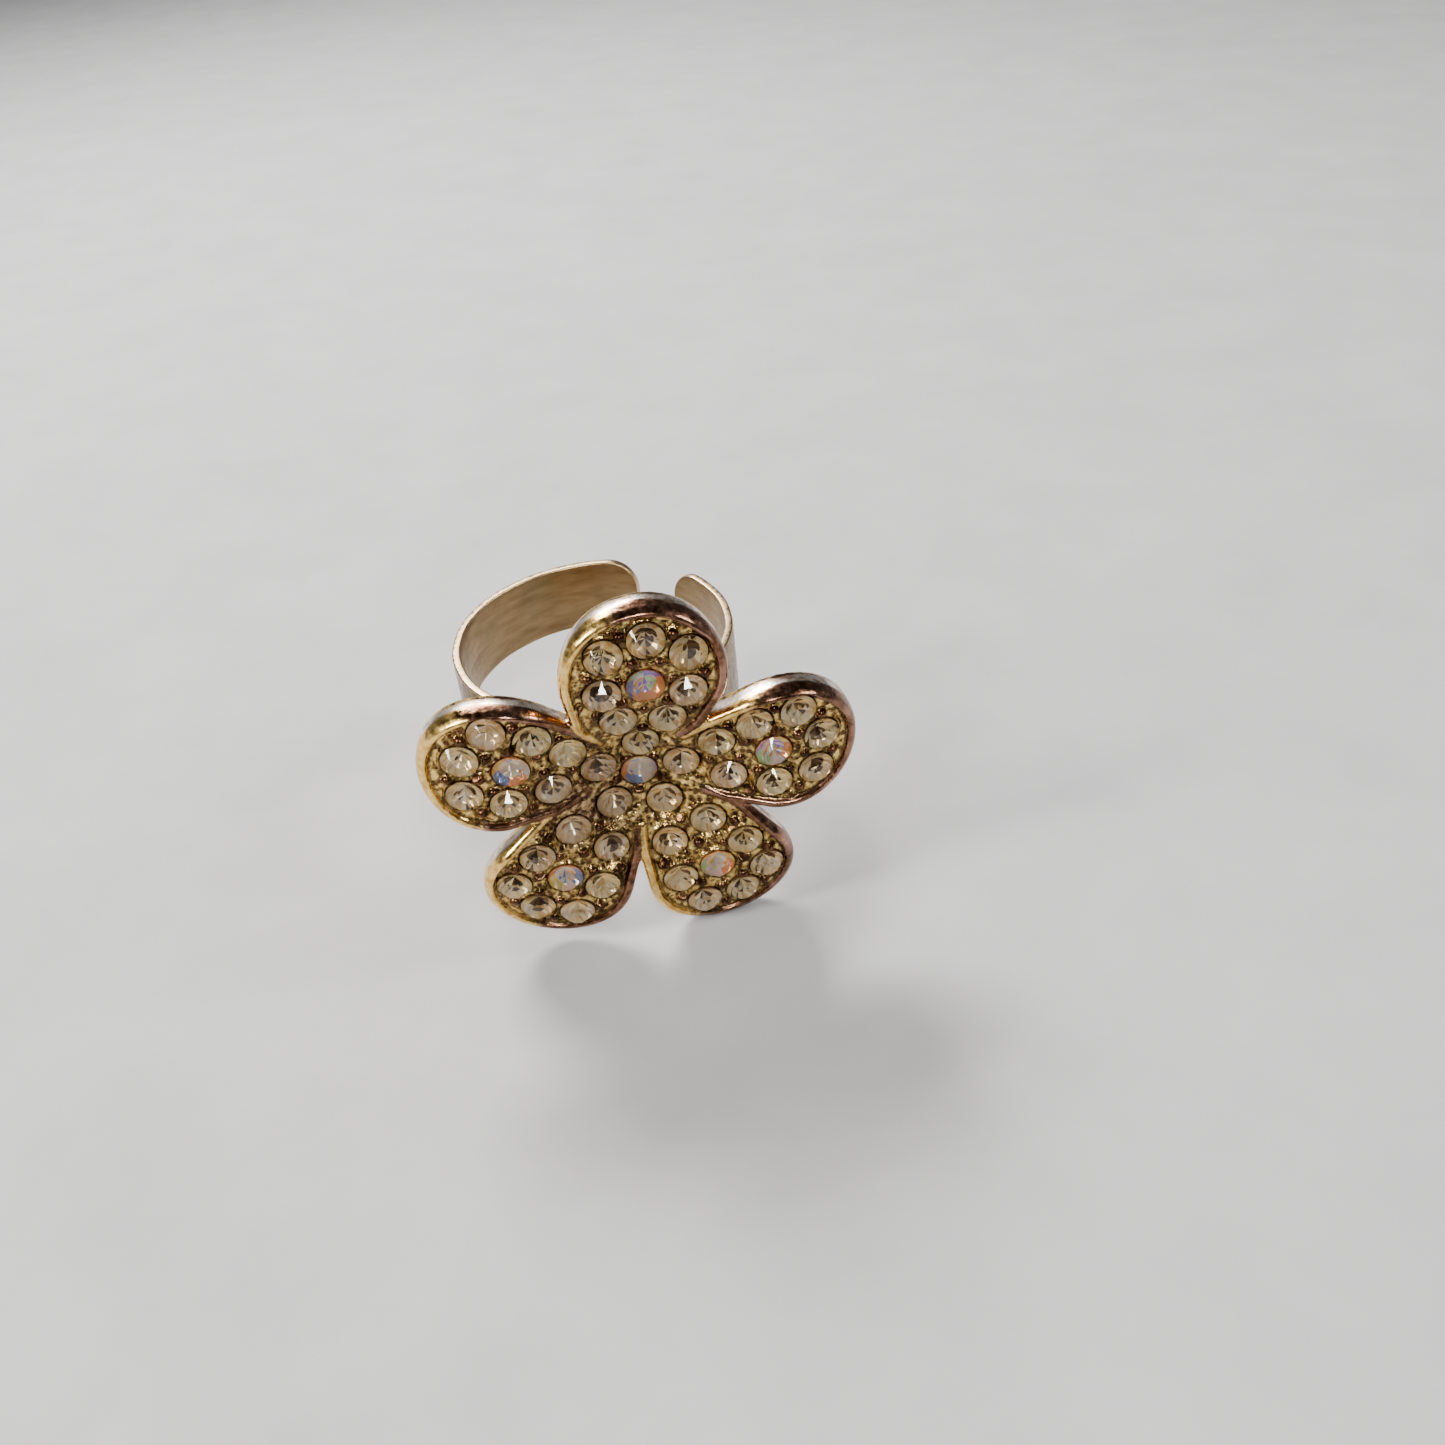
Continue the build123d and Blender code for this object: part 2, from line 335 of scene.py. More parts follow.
def foil(name, stops, constant):
    """Foil behind a stone: each facet has its own tone, on clear stones light and dark painted reflections of
    the cut, and each stone its own luck and age.
    """
    n = Nodes(name)
    facet = n.attribute("facet")
    luck = n.attribute("luck")
    grain = n.noise(0.2, 3, 0.6)
    ramp = n.add("ValToRGB")
    ramp.color_ramp.interpolation = "CONSTANT" if constant else "LINEAR"
    while len(ramp.color_ramp.elements) < len(stops):
        ramp.color_ramp.elements.new(0.5)
    for element, (place, colour) in zip(ramp.color_ramp.elements, stops):
        element.position = place
        element.color = colour
    n.join(ramp.inputs[0], facet)
    warm = n.mix(luck, rgb(1.0, 0.90, 0.62), rgb(1.0, 0.84, 0.70))
    tone = n.mix(0.8, ramp.outputs[0], warm, "MULTIPLY")
    tone = n.mix(n.scale(grain, 0.55, 0.75, 0.0, 0.4), tone, rgb(0.42, 0.29, 0.16))
    tone = n.mix(n.math("MULTIPLY", n.attribute("dull"), 0.5), tone, rgb(0.52, 0.36, 0.27))
    return n.finish(Base_Color=tone, Metallic=0.5, Roughness=n.scale(grain, 0.3, 0.7, 0.05, 0.18))


# Foil tones for clear stones: champagne colours, and near-black and near-white tones that are painted
# reflections and painted shade of the cut facets.
CLEAR_TONES = (
    (0.0, rgb(0.03, 0.016, 0.008)), (0.2, rgb(0.20, 0.12, 0.05)), (0.42, rgb(0.82, 0.60, 0.31)),
    (0.68, rgb(1.0, 0.90, 0.60)), (1.0, rgb(1.0, 1.0, 0.94)),
)
AURORA_TONES = (
    (0.0, rgb(0.42, 0.26, 0.98)), (0.13, rgb(1.0, 0.42, 0.14)), (0.27, rgb(0.92, 0.90, 0.80)),
    (0.42, rgb(0.20, 0.36, 1.0)), (0.54, rgb(0.96, 0.88, 0.22)), (0.66, rgb(0.86, 0.80, 0.86)),
    (0.79, rgb(1.0, 0.22, 0.20)), (0.89, rgb(0.40, 0.90, 0.46)),
)


# ---- stones ----
def stone_mesh(name, seed, is_aurora, dull):
    """Round cut stone: flat table, crown facets, thin girdle, foiled back with painted light and dark
    reflections and a painted dark star of shade at its point.
    """
    facets = 8
    around = 4 * facets
    girdle = 0.07
    table_radius = 0.56 * STONE_RADIUS
    crown = 0.50
    star_radius = 0.42 * STONE_RADIUS
    star_depth = 0.46
    depth = 0.76
    draw = np.random.default_rng(seed)
    table = [(table_radius * math.cos(a), table_radius * math.sin(a), girdle + crown)
             for a in (2 * math.pi * (k + 0.5) / facets for k in range(facets))]
    ring = [(STONE_RADIUS * math.cos(a), STONE_RADIUS * math.sin(a)) for a in
            (2 * math.pi * j / around for j in range(around))]
    upper = [(x, y, girdle) for x, y in ring]
    lower = [(x, y, 0.0) for x, y in ring]
    star = [(star_radius * math.cos(a), star_radius * math.sin(a), -star_depth)
            for a in (math.pi * k / facets for k in range(2 * facets))]
    first_upper = facets
    first_lower = first_upper + around
    first_star = first_lower + around
    tip = first_star + 2 * facets
    vertices = table + upper + lower + star + [(0.0, 0.0, -depth)]
    faces = [tuple(range(facets))]
    tones = [0.5]
    foiled = [0]

    def facet(corners, tone, back):
        faces.append(corners)
        tones.append(tone)
        foiled.append(back)

    sectors = draw.permutation(8)[:5] / 8 + 0.02
    star_points = draw.random(facets) < 0.5

    def tone(sector, dark_chance):
        """Aurora backs are coloured by sector; clear backs carry painted reflections, light with a few dark
        facets.
        """
        if is_aurora:
            return float(sectors[sector * 5 // (2 * facets)])
        return float(draw.uniform(0.0, 0.15) if draw.random() < dark_chance else draw.uniform(0.32, 1.0))

    for k in range(facets):
        corner = 4 * k + 2
        edge = [first_upper + (corner + step) % around for step in range(-2, 3)]
        facet((k, edge[0], edge[1], edge[2]), 0.5, 0)
        facet((k, edge[2], edge[3], edge[4]), 0.5, 0)
        facet((k, edge[4], (k + 1) % facets), 0.5, 0)
    for j in range(around):
        following = (j + 1) % around
        facet((first_upper + following, first_upper + j, first_lower + j, first_lower + following), 0.25, 1)
    for k in range(2 * facets):
        edge = [first_lower + (2 * k + step) % around for step in range(3)]
        inner, following = first_star + k, first_star + (k + 1) % (2 * facets)
        facet((inner, edge[2], edge[1], edge[0]), tone(k, 0.04), 1)
        facet((inner, following, edge[2]), tone(k, 0.0), 1)
        pale = is_aurora and draw.random() < 0.7
        # The dark tones drawn here at the point paint the dark star: painted shade.
        star_tone = tone((k + 6) % (2 * facets), 0.9 if star_points[k // 2] else 0.0)
        facet((tip, following, inner), 0.3 if pale else star_tone, 1)
    mesh = bpy.data.meshes.new(name)
    mesh.from_pydata([tuple(v) for v in np.array(vertices) * MM], [], faces)
    mesh.polygons.foreach_set("material_index", foiled)
    luck = [float(draw.random())] * len(faces)
    for attribute_name, values in (("facet", tones), ("luck", luck), ("dull", [dull] * len(faces))):
        attribute = mesh.attributes.new(attribute_name, "FLOAT", "FACE")
        attribute.data.foreach_set("value", np.array(values, np.float32))
    mesh.update()
    solid = bmesh.new()
    solid.from_mesh(mesh)
    bmesh.ops.recalc_face_normals(solid, faces=solid.faces)
    solid.to_mesh(mesh)
    solid.free()
    return mesh


def seat_matrix(u, v, turn):
    """Place of a stone: on the floor's wave, tilted as its seat is, and turned about its own axis."""
    """Places a stone on the pave surface at flower coordinates u, v."""
    radius = math.hypot(u, v)
    outward = np.array((u, v, 0.0)) / radius if radius > 0 else np.array((1.0, 0.0, 0.0))
    slope = float(seat_tilt(radius))
    normal = np.array((0.0, 0.0, 1.0)) - outward * slope
    normal /= np.linalg.norm(normal)
    across = np.cross(normal, outward)
    across /= np.linalg.norm(across)
    first = np.cross(across, normal)
    place = to_row((u, v, float(wave(radius)) + STONE_LIFT))
    x_axis = (first * math.cos(turn) + across * math.sin(turn)) @ FLOWER
    z_axis = normal @ FLOWER
    y_axis = np.cross(z_axis, x_axis)
    return Matrix((
        (x_axis[0], y_axis[0], z_axis[0], place[0]),
        (x_axis[1], y_axis[1], z_axis[1], place[1]),
        (x_axis[2], y_axis[2], z_axis[2], place[2]),
        (0, 0, 0, 1),
    ))


stone_places = {"centre_aurora_stone": (0.0, 0.0)}
for petal, petal_name in enumerate(PETALS):
    for seat_name, (radial, sideways) in SEATS.items():
        u, v = petal_uv(petal, radial, sideways)
        stone_places[f"{petal_name}_petal_{seat_name}_stone"] = (float(u), float(v))


def build_stones():
    """46 cut stones in their seats: clear ones, and aurora ones at the middle and in each petal."""
    clear = [crown_glass("clear_crown", rgb(1.0, 0.97, 0.92)), foil("clear_foil", CLEAR_TONES, False)]
    aurora = [crown_glass("aurora_crown", rgb(0.97, 0.96, 1.0)), foil("aurora_foil", AURORA_TONES, True)]
    for number, (name, (u, v)) in enumerate(stone_places.items()):
        is_aurora = "aurora" in name
        mesh = stone_mesh(name + "_cut", number, is_aurora, float(stained(u, v)))
        for material in (aurora if is_aurora else clear):
            mesh.materials.append(material)
        stone = bpy.data.objects.new(name + "_cut", mesh)
        scene.collection.objects.link(stone)
        stone.matrix_world = seat_matrix(u, v, rng.uniform(0, math.pi))
        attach(stone, "head")
        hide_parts(name)


# ---- flower casting ----
# Flanks that are fuller than the rest: petal, then the circle that fills it out.
FULL_FLANKS = {
    0: ((5.3, -1.95, 1.9), (5.3, 1.6, 1.9)),
    1: ((5.6, -1.75, 1.9),),
    2: ((5.3, -2.1, 1.9),),
    3: ((5.3, 2.1, 1.9),),
    4: ((5.6, 1.6, 1.9),),
}


def outline_point(petal, phi, reach):
    """Point of a petal's outline, moved out by reach, whose outward normal is at angle phi."""
    circles = (
        (LOBE_CENTRE, 0.0, LOBE_RADIUS),
        (SEATS["inner_left"][0], SEATS["inner_left"][1], INNER_RADIUS),
        (SEATS["inner_right"][0], SEATS["inner_right"][1], INNER_RADIUS),
        (SEATS["root"][0], 0.0, INNER_RADIUS),
    ) + FULL_FLANKS[petal]
    nx, ny = math.cos(phi), math.sin(phi)
    best = max(circles, key=lambda c: c[0] * nx + c[1] * ny + c[2])
    return best[0] + nx * (best[2] + reach), best[1] + ny * (best[2] + reach)


RIM_PROFILE = (
    (-0.70, 0.03), (-0.62, 0.07), (-0.56, 0.20), (-0.49, 0.36), (-0.36, 0.44), (-0.18, 0.40),
    (-0.02, 0.26), (0.06, 0.03), (0.06, -0.25), (0.02, -0.6), (-0.06, -0.95), (-0.20, -1.22),
    (-0.42, -1.38), (-0.66, -1.42),
)
# The casting is a little uneven: how far each petal swells to the left, and how much deeper its upper
# side is, in the order of the petals' names.
SWELL = (0.2, 0.0, 0.05, 0.0, 0.15)
EXTRA_DEPTH = (0.05, 0.4, 0.0, 0.0, 0.05)
UPPER_CREST = 0.4
CREST_HEIGHT = 0.4
PETAL_MIDDLE = 7.2
PETAL_FADE = (3.4, 5.2)
PRONG_REACH = 3.4
RIM_BEAD_OFFSET = 0.82
VOXEL = 0.095
CRUST_HEIGHT = 0.13
NORMAL_DIRECTIONS = 120


def petal_solid(petal):
    """Closed petal: dished floor, rounded rim, outer wall tucking in to a hollowed back."""
    steps = 180
    phis = [2 * math.pi * k / steps for k in range(steps)]
    vertices = []
    faces = []

    def loop(points, heights):
        start = len(vertices)
        uv = petal_uv(petal, points[:, 0], points[:, 1])
        vertices.extend(np.column_stack((uv, heights)))
        return start

    def bridge(first, second):
        for k in range(steps):
            following = (k + 1) % steps
            faces.append((first + k, first + following, second + following, second + k))

    middle = np.array((PETAL_MIDDLE, 0.0))
    edge = np.array([outline_point(petal, phi, RIM_PROFILE[0][0]) for phi in phis])
    rows = []
    for share in (0.12, 0.25, 0.4, 0.55, 0.7, 0.82, 0.92):
        points = middle + (edge - middle) * share
        rows.append(loop(points, wave(np.hypot(*points.T)) + FLOOR_LIFT))
    outward = petal_uv(petal, np.cos(phis), np.sin(phis))
    upper = smoothstep(0.1, 0.95, outward[:, 1])
    swell = SWELL[petal] * smoothstep(0.2, 0.9, -outward[:, 0])
    for reach, height in RIM_PROFILE:
        points = np.array([outline_point(petal, phi, reach + push) for phi, push in zip(phis, swell)])
        radius = np.hypot(*points.T)
        fade = smoothstep(*PETAL_FADE, radius)
        if height > 0:
            taller = 1 + UPPER_CREST / CREST_HEIGHT * upper * smoothstep(6, 11, radius)
            lift = (height - FLOOR_LIFT) * taller
            rows.append(loop(points, wave(radius) + FLOOR_LIFT + lift * fade))
        else:
            fall = height * (1 + EXTRA_DEPTH[petal] * upper)
            deepest = np.maximum(wave(radius) + fall, back_level(radius))
            rows.append(loop(points, deepest * fade + (wave(radius) - 0.3) * (1 - fade)))
    foot = np.array([outline_point(petal, phi, RIM_PROFILE[-1][0]) for phi in phis])
    for share in np.linspace(0.95, 0.05, 16):
        points = middle + (foot - middle) * share
        radius = np.hypot(*points.T)
        blend = smoothstep(0.7, 0.95, share)
        hollow = back_level(radius)
        lipped = np.minimum(wave(radius) - 1.44, hollow) * blend + hollow * (1 - blend)
        inner = smoothstep(*PETAL_FADE, radius)
        sunk = np.minimum(hollow + 0.3, wave(radius) - 0.35)
        rows.append(loop(points, lipped * inner + sunk * (1 - inner)))
    for first, second in zip(rows, rows[1:]):
        bridge(first, second)
    faces.append(tuple(reversed(range(rows[0], rows[0] + steps))))
    faces.append(tuple(range(rows[-1], rows[-1] + steps)))
    return vertices, faces


def heart_solid():
    """Middle of the flower: the shallow dish that joins the petals, flat behind for the pad."""
    steps = 96
    vertices = []
    faces = []
    rows = []
    profile = [(r, float(wave(r)) + FLOOR_LIFT) for r in np.linspace(0.4, 5.7, 14)]
    profile += [(r, float(back_level(r))) for r in np.linspace(5.6, 0.4, 14)]
    for radius, height in profile:
        rows.append(len(vertices))
        for k in range(steps):
            angle = 2 * math.pi * k / steps
            vertices.append((radius * math.cos(angle), radius * math.sin(angle), height))
    for first, second in zip(rows, rows[1:]):
        for k in range(steps):
            following = (k + 1) % steps
            faces.append((first + k, first + following, second + following, second + k))
    faces.append(tuple(reversed(range(rows[0], rows[0] + steps))))
    faces.append(tuple(range(rows[-1], rows[-1] + steps)))
    return vertices, faces


def bead_places():
    """Cast prong beads: in the middle of each three neighbouring stones, and along the rims."""
    places = []
    for trio in itertools.combinations(stone_places.values(), 3):
        if all(math.dist(a, b) < PRONG_REACH for a, b in itertools.combinations(trio, 2)):
            places.append(tuple(np.mean(trio, 0)))
    border = ("inner_left", "flank_left", "tip_left", "tip_middle", "tip_right", "flank_right", "inner_right")
    for petal in range(len(PETALS)):
        for first, second in zip(border, border[1:]):
            a, b = np.array(SEATS[first]), np.array(SEATS[second])
            along = (b - a) / np.linalg.norm(b - a)
            outward = np.array((-along[1], along[0]))
            if outward @ ((a + b) / 2 - (LOBE_CENTRE, 0)) < 0:
                outward = -outward
            place = (a + b) / 2 + outward * RIM_BEAD_OFFSET
            places.append(tuple(petal_uv(petal, place[0], place[1])))
    return places


def granule_places(beads):
    """Crumbs of the rough casting, scattered wherever stones and beads leave room."""
    stones = np.array(list(stone_places.values()))
    kept = list(beads)
    granules = []
    for u, v in rng.uniform(-13, 13, (5000, 2)):
        size = rng.uniform(0.10, 0.19)
        if np.min(np.hypot(stones[:, 0] - u, stones[:, 1] - v)) < STONE_RADIUS + 0.08 + size:
            continue
        if any(math.hypot(u - a, v - b) < size + 0.8 * other for a, b, other in kept):
            continue
        kept.append((u, v, size))
        granules.append((u, v, size))
    inside = petal_depth(np.array([(u, v, 0.0) for u, v, _ in granules]))[0]
    return [place for place, depth in zip(granules, inside) if depth < -RIM_WIDTH - 0.16]


def joined(solids):
    """All the solids' vertices and faces as one mesh's."""
    vertices = []
    faces = []
    for more, their_faces in solids:
        start = len(vertices)
        vertices.extend(more)
        faces.extend(tuple(start + i for i in face) for face in their_faces)
    return vertices, faces


def bead_solid(u, v, radius):
    """A round bead sunk a little over halfway into the floor."""
    rise = float(wave(math.hypot(u, v))) + 0.4 * radius
    ball = bmesh.new()
    bmesh.ops.create_icosphere(ball, subdivisions=2, radius=radius)
    vertices = [(u + p.co.x, v + p.co.y, rise + p.co.z) for p in ball.verts]
    faces = [tuple(p.index for p in face.verts) for face in ball.faces]
    ball.free()
    return vertices, faces


def build_casting():
    """One skin over petals, heart and beads, then the cast crust, stone cups and wear, with painted
    highlights on walls that face up and on rims that face left, and painted shade in crevices and round
    stones and beads.
    """
    beads = [(u, v, rng.uniform(0.30, 0.40)) for u, v in bead_places()]
    solids = [petal_solid(petal) for petal in range(len(PETALS))]
    solids.append(heart_solid())
    granules = granule_places(beads)
    solids += [bead_solid(u, v, radius) for u, v, radius in beads + granules]
    raw = mesh_object("casting_raw", *joined(solids))
    remesh = raw.modifiers.new("cast", "REMESH")
    remesh.mode = "VOXEL"
    remesh.voxel_size = VOXEL
    smooth = raw.modifiers.new("soften", "SMOOTH")
    smooth.factor = 0.5
    smooth.iterations = 2
    evaluated = raw.evaluated_get(bpy.context.evaluated_depsgraph_get())
    mesh = bpy.data.meshes.new_from_object(evaluated)
    bpy.data.objects.remove(raw)
    count = len(mesh.vertices)
    flat = np.empty(count * 3, np.float32)
    mesh.vertices.foreach_get("co", flat)
    points = flat.reshape(-1, 3).astype(float)
    normals = np.empty(count * 3, np.float32)
    mesh.vertices.foreach_get("normal", normals)
    normals = normals.reshape(-1, 3).astype(float)

    radius = np.hypot(points[:, 0], points[:, 1])
    above = points[:, 2] - wave(radius)
    facing = smoothstep(-0.25, 0.0, above) * (normals[:, 2] > -0.2)
    crust = np.array([
        noise.noise(place * 2.3) * 0.6 + noise.noise(place * 5.1) * 0.4
        for place in (Vector(point) for point in points)
    ])
    outline_distance, leftward = petal_depth(points)
    low_ground = smoothstep(0.20, 0.10, above) * smoothstep(5.2, 4.6, radius)
    pave = facing * np.maximum(smoothstep(-RIM_WIDTH + 0.05, -RIM_WIDTH - 0.1, outline_distance), low_ground)
    low = (above < -0.8) & (radius < 7.2) & (outline_distance < -0.3)
    points[:, 2] = np.where(low, np.maximum(points[:, 2], back_level(radius) - 0.02), points[:, 2])
    bead_distance = np.full(count, 2.0)
    for u, v, size in beads + granules:
        bead_distance = np.minimum(bead_distance, np.hypot(points[:, 0] - u, points[:, 1] - v) / size)
    bead = smoothstep(1.1, 0.9, bead_distance) * facing
    points[:, 2] += pave * (1 - bead) * CRUST_HEIGHT * crust
    stone_distance = np.full(count, 3.0)
    for u, v in stone_places.values():
        across = np.hypot(points[:, 0] - u, points[:, 1] - v)
        centre = math.hypot(u, v)
        near = (across < STONE_RADIUS + 0.45) & (facing > 0.5)
        along = ((points[:, 0] - u) * u + (points[:, 1] - v) * v) / max(centre, 1e-6)
        plane = float(wave(centre)) + float(seat_tilt(centre)) * along
        collar = plane + 0.03 - 1.8 * np.clip(across - STONE_RADIUS - 0.12, 0, 1)
        brim = plane + 0.07 + 1.6 * np.clip(across - STONE_RADIUS - 0.10, 0, 1)
        held = np.maximum(np.minimum(points[:, 2], brim), collar)
        points[:, 2] = np.where(near, held, points[:, 2])
        cup = plane - 0.04 - 0.75 * (STONE_RADIUS - across)
        inside = near & (across < STONE_RADIUS + 0.03)
        points[:, 2] = np.where(inside, np.minimum(points[:, 2], cup), points[:, 2])
        stone_distance = np.minimum(stone_distance, across)

    wide = np.hypot(normals[:, 0], normals[:, 1])
    upward = (normals @ FLOWER)[:, 2]
    # Painted shade: where near-black is painted in, at the rim's foot, in rings round each stone and each
    # bead, and in the crust's low pits.
    crevice_shade = smoothstep(0.14, 0.0, np.abs(outline_distance + RIM_WIDTH + 0.04)) * facing * 0.85
    moat_shade = smoothstep(0.20, 0.0, np.abs(stone_distance - STONE_RADIUS - 0.03)) * pave * 0.9
    bead_gap_shade = smoothstep(0.95, 1.15, bead_distance) * smoothstep(1.6, 1.2, bead_distance) * pave * 0.7
    pits = smoothstep(-0.02, -0.26, crust) * pave * 0.85
    wall = smoothstep(0.15, -0.35, above) * smoothstep(0.3, 0.7, wide)
    behind = smoothstep(0.1, -0.4, normals[:, 2])
    # Painted highlight: pale plating painted on walls that face up, where the light from above falls; it also
    # stands for plating rubbed through there.
    silver_and_highlight = wall * smoothstep(0.15, 0.75, upward) * (1 - behind)
    # Painted highlight: gold painted on rims whose edge faces left, where the light from the left falls, over
    # the gold plating; the back gets an even gold mix.
    gilt_and_highlight = smoothstep(0.1, 0.75, leftward) * (1 - behind) + 0.62 * behind
    shade = np.clip(crevice_shade + (moat_shade + bead_gap_shade + pits) * (1 - bead), 0, 0.92)

    points_row = to_row(points)
    mesh.vertices.foreach_set("co", points_row.astype(np.float32).ravel())
    for name, values in (
        ("pave", pave),
        ("bead", bead),
        ("silver_and_highlight", silver_and_highlight),
        ("gilt_and_highlight", gilt_and_highlight),
        ("stain", stained(points[:, 0], points[:, 1])),
        ("shade", shade),
    ):
        set_attribute(mesh, name, values)
    mesh.update()
    mesh.polygons.foreach_set("use_smooth", [True] * len(mesh.polygons))
    mesh.materials.append(casting_metal())
    casting = bpy.data.objects.new("flower_casting_sculpt", mesh)
    scene.collection.objects.link(casting)
    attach(casting, "head")
    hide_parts("flower_casting")
    print("casting vertices", count)


def petal_depth(points):
    """Distance outside the nearest petal's outline, negative inside, and how far left that edge faces."""
    best = np.full(len(points), 9.0)
    leftward = np.zeros(len(points))
    for petal in range(len(PETALS)):
        angle = math.pi / 2 - petal * PITCH
        radial = points[:, 0] * math.cos(angle) + points[:, 1] * math.sin(angle)
        sideways = points[:, 0] * math.sin(angle) - points[:, 1] * math.cos(angle)
        hull = np.full(len(points), -9.0)
        left = np.zeros(len(points))
        for phi in np.linspace(-math.pi, math.pi, NORMAL_DIRECTIONS + 1)[:-1]:
            x, y = outline_point(petal, phi, 0.0)
            direction = petal_uv(petal, math.cos(phi), math.sin(phi))
            swell = SWELL[petal] * smoothstep(0.2, 0.9, -direction[0])
            support = x * math.cos(phi) + y * math.sin(phi) + swell
            reach = radial * math.cos(phi) + sideways * math.sin(phi) - support
            left = np.where(reach > hull, -direction[0], left)
            hull = np.maximum(hull, reach)
        leftward = np.where(hull < best, left, leftward)
        best = np.minimum(best, hull)
    heart = np.hypot(points[:, 0], points[:, 1]) - HEART_REACH
    return np.minimum(best, heart - RIM_WIDTH), leftward


# ---- strap ----
FINGER_RADIUS = 8.65
THICKNESS = 0.55
HALF_WIDTH = 2.5
FRONT = 270.0
RIGHT_TIP = 45.0 + 360.0
LEFT_TIP = 65.0
CORNER = 2.0
EDGE_RADIUS = 0.13


def strap_side(name, tip, nodes):
    """Half of the strap from the middle of the front to one free end, with softened edges."""
    middle = FINGER_RADIUS + THICKNESS / 2
    length = math.radians(abs(tip - FRONT)) * middle
    sign = 1 if tip > FRONT else -1
    stations = list(np.linspace(0, length - CORNER, 110, endpoint=False))
    stations += [length - CORNER + CORNER * math.sin(a) for a in np.linspace(0, math.pi / 2, 16)]
    ring = []
    half = THICKNESS / 2
    for z_side, r_side in ((1, -1), (1, 1), (-1, 1), (-1, -1)):
        pieces = []
        for step in range(5):
            turn = math.pi / 2 * step / 4
            dz = math.sin(turn) if z_side * r_side < 0 else math.cos(turn)
            dr = math.cos(turn) if z_side * r_side < 0 else math.sin(turn)
            pieces.append((z_side, r_side, dz, dr))
        ring += pieces
    vertices = []
    faces = []
    inside = []
    edge = []
    for distance in stations:
        angle = math.radians(FRONT) + sign * distance / middle
        over = max(0.0, distance - (length - CORNER))
        half_width = HALF_WIDTH - CORNER + math.sqrt(max(CORNER * CORNER - over * over, 0.0))
        along = sign * distance
        sway = 0.012 * math.sin(along * 1.7) + 0.01 * math.sin(along * 0.61 + 1)
        for z_side, r_side, dz, dr in ring:
            z = z_side * (half_width - EDGE_RADIUS + EDGE_RADIUS * dz)
            r = middle + sway + r_side * (half - EDGE_RADIUS + EDGE_RADIUS * dr)
            vertices.append((r * math.cos(angle) * MM, r * math.sin(angle) * MM, z * MM))
            inside.append(1.0 if r_side < 0 else 0.0)
            edge.append(1.0 if abs(dz) > 0.35 else 0.0)
    per = len(ring)
    for row in range(len(stations) - 1):
        for k in range(per):
            following = (k + 1) % per
            a, b = row * per + k, row * per + following
            faces.append((a, b, b + per, a + per))
    faces.append(tuple(reversed(range(per))))
    last = (len(stations) - 1) * per
    faces.append(tuple(range(last, last + per)))
    strap = mesh_object(name, vertices, faces)
    solid = bmesh.new()
    solid.from_mesh(strap.data)
    bmesh.ops.recalc_face_normals(solid, faces=solid.faces)
    solid.to_mesh(strap.data)
    solid.free()
    for border in strap.data.edges:
        border.use_edge_sharp = max(border.vertices) < per or min(border.vertices) >= last
    set_attribute(strap.data, "inside", inside)
    set_attribute(strap.data, "edge", edge)
    strap.data.materials.append(strap_material)
    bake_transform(strap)
    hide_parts(*nodes)


# ---- camera, light and floor ----
LENS = 36.13
HEADING = 6.17
TILT = -36.75
ROLL = -5.91
CAMERA_PLACE = (-0.80, -80.37, 53.72)
FLOOR_HALF_SIZE = 1.2
HORIZON_GLOW = 0.3
OVERHEAD_GLOW = 0.10


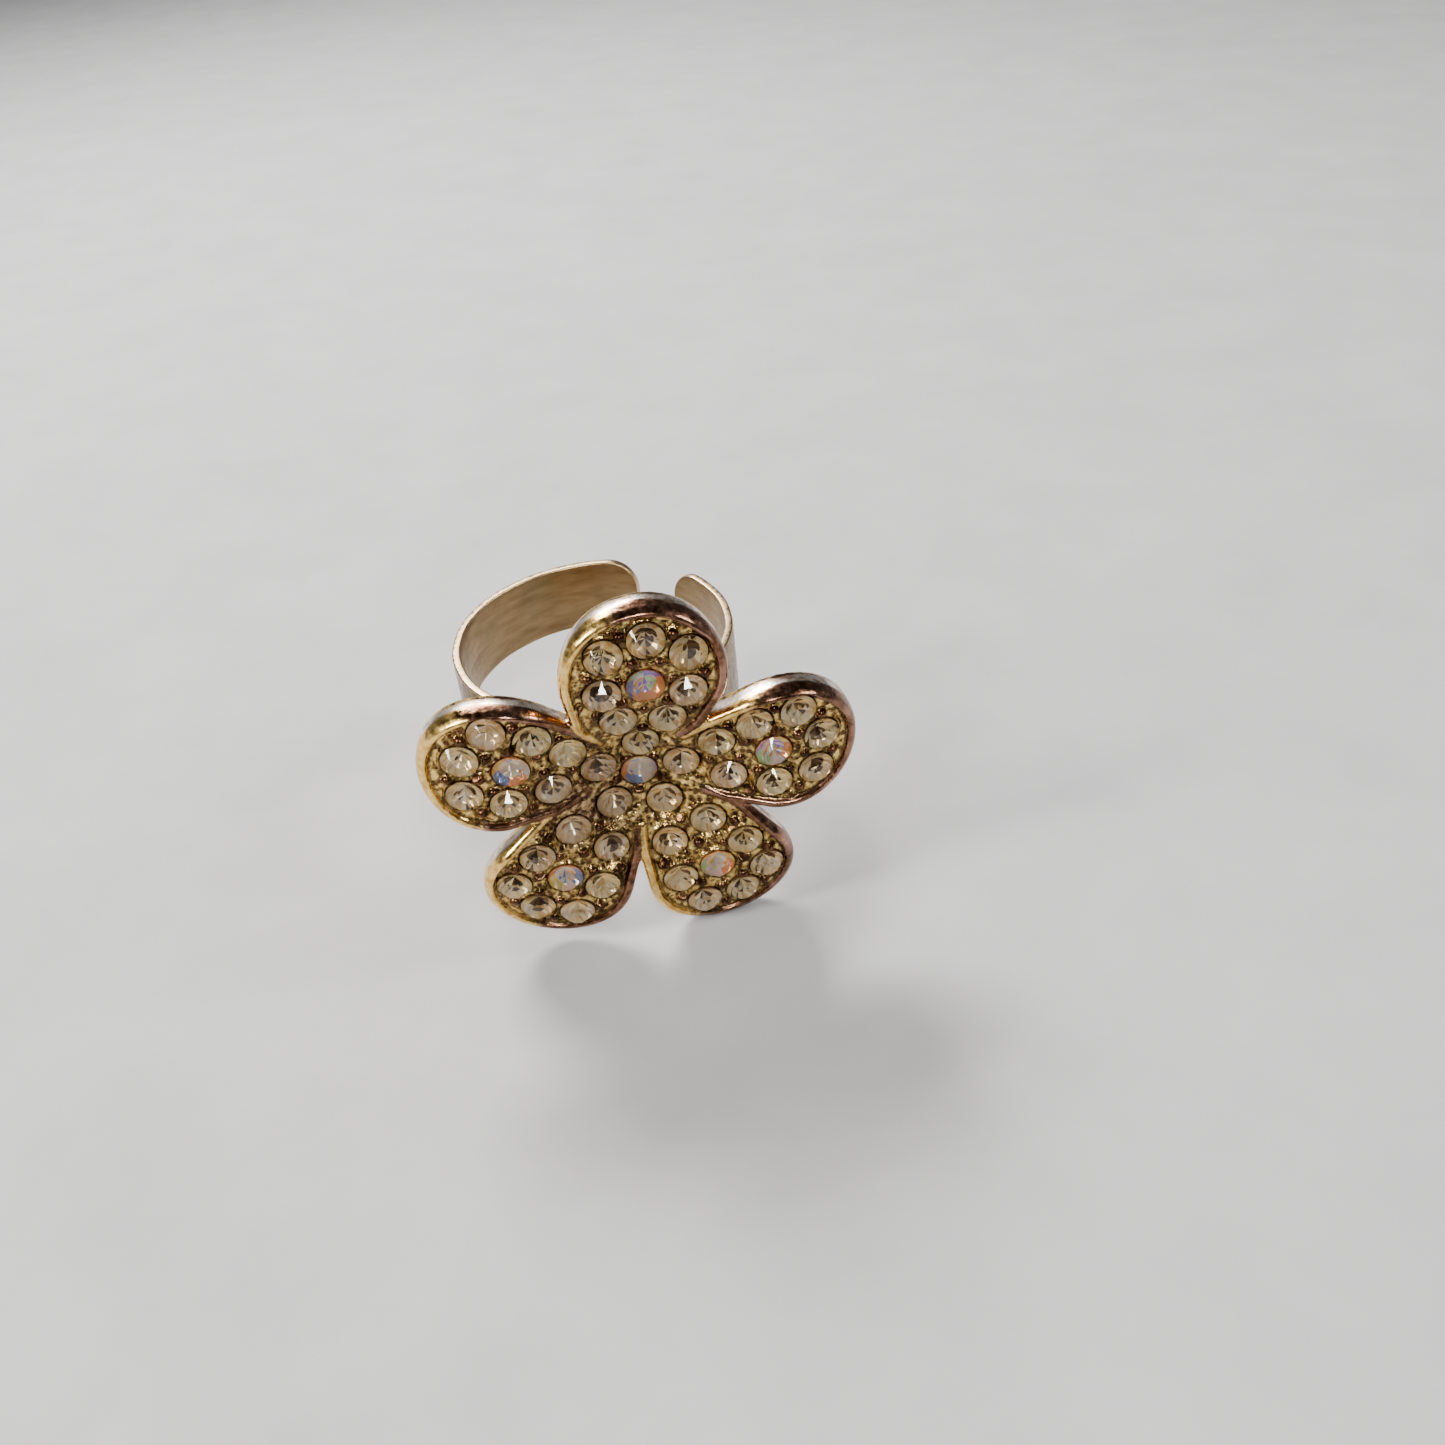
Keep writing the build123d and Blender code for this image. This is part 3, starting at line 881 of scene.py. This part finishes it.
def build_stage():
    """Camera at the photograph's viewing angle, plain pale floor, four softboxes and a dim sky."""
    lens = bpy.data.cameras.new("camera")
    lens.sensor_width = 36.0
    lens.lens = LENS
    lens.clip_start = 0.001
    camera = bpy.data.objects.new("camera", lens)
    scene.collection.objects.link(camera)
    heading, tilt, roll = map(math.radians, (HEADING, TILT, ROLL))
    forward = Vector((
        math.sin(heading) * math.cos(tilt),
        math.cos(heading) * math.cos(tilt),
        math.sin(tilt),
    ))
    level = forward.cross(Vector((0, 0, 1))).normalized()
    upright = level.cross(forward)
    right = level * math.cos(roll) + upright * math.sin(roll)
    up = right.cross(forward)
    spot = Vector(CAMERA_PLACE) * MM
    camera.matrix_world = Matrix((
        (right.x, up.x, -forward.x, spot.x),
        (right.y, up.y, -forward.y, spot.y),
        (right.z, up.z, -forward.z, spot.z),
        (0, 0, 0, 1),
    ))
    scene.camera = camera

    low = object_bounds()[0]
    paper = Nodes("floor_paper")
    mottle = paper.noise(9.0, 4, 0.6)
    fibre = paper.noise(0.7, 3, 0.6)
    paper.bump(fibre, 0.15, 0.05)
    tone = paper.mix(paper.scale(mottle, 0.3, 0.7), rgb(0.40, 0.40, 0.41), rgb(0.45, 0.45, 0.46))
    size = FLOOR_HALF_SIZE
    floor = mesh_object(
        "floor",
        [(-size, -size, low[2]), (size, -size, low[2]), (size, size, low[2]), (-size, size, low[2])],
        [(0, 1, 2, 3)],
    )
    floor.data.materials.append(paper.finish(Base_Color=tone, Roughness=0.85))

    def softbox(name, place, size, power, colour):
        light = bpy.data.lights.new(name, "AREA")
        light.shape = "RECTANGLE"
        light.size = size[0]
        light.size_y = size[1]
        light.energy = power
        light.color = colour
        thing = bpy.data.objects.new(name, light)
        scene.collection.objects.link(thing)
        thing.location = place
        thing.rotation_euler = (Vector((0, -0.008, 0)) - Vector(place)).to_track_quat("-Z", "Y").to_euler()

    softbox("window", (-0.08, 0.22, 0.26), (0.16, 0.08), 2.8, (1.0, 0.98, 0.95))
    softbox("left_key", (-0.28, -0.10, 0.20), (0.07, 0.12), 1.5, (1.0, 0.96, 0.90))
    softbox("right_glow", (0.26, -0.06, 0.20), (0.06, 0.06), 0.5, (1.0, 0.97, 0.92))
    softbox("front_spark", (0.02, -0.24, 0.22), (0.05, 0.04), 0.6, (1.0, 1.0, 1.0))
    world = bpy.data.worlds.new("studio")
    scene.world = world
    world.use_nodes = True
    tree = world.node_tree
    place = tree.nodes.new("ShaderNodeTexCoord")
    split = tree.nodes.new("ShaderNodeSeparateXYZ")
    fade = tree.nodes.new("ShaderNodeMapRange")
    fade.inputs["From Min"].default_value = 0.05
    fade.inputs["From Max"].default_value = 0.5
    fade.inputs["To Min"].default_value = HORIZON_GLOW
    fade.inputs["To Max"].default_value = OVERHEAD_GLOW
    tree.links.new(place.outputs["Generated"], split.inputs[0])
    tree.links.new(split.outputs["Z"], fade.inputs["Value"])
    background = tree.nodes["Background"]
    background.inputs["Color"].default_value = (0.60, 0.62, 0.66, 1)
    tree.links.new(fade.outputs[0], background.inputs["Strength"])


strap_material = strap_metal()
build_casting()
build_stones()
strap_side("shank_right_side", RIGHT_TIP, ("shank_right_arm", "shank_front"))
strap_side("shank_left_side", LEFT_TIP, ("shank_left_arm",))
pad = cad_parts["mounting_pad"]
pad.data.materials.clear()
pad.data.materials.append(pad_metal())
build_stage()
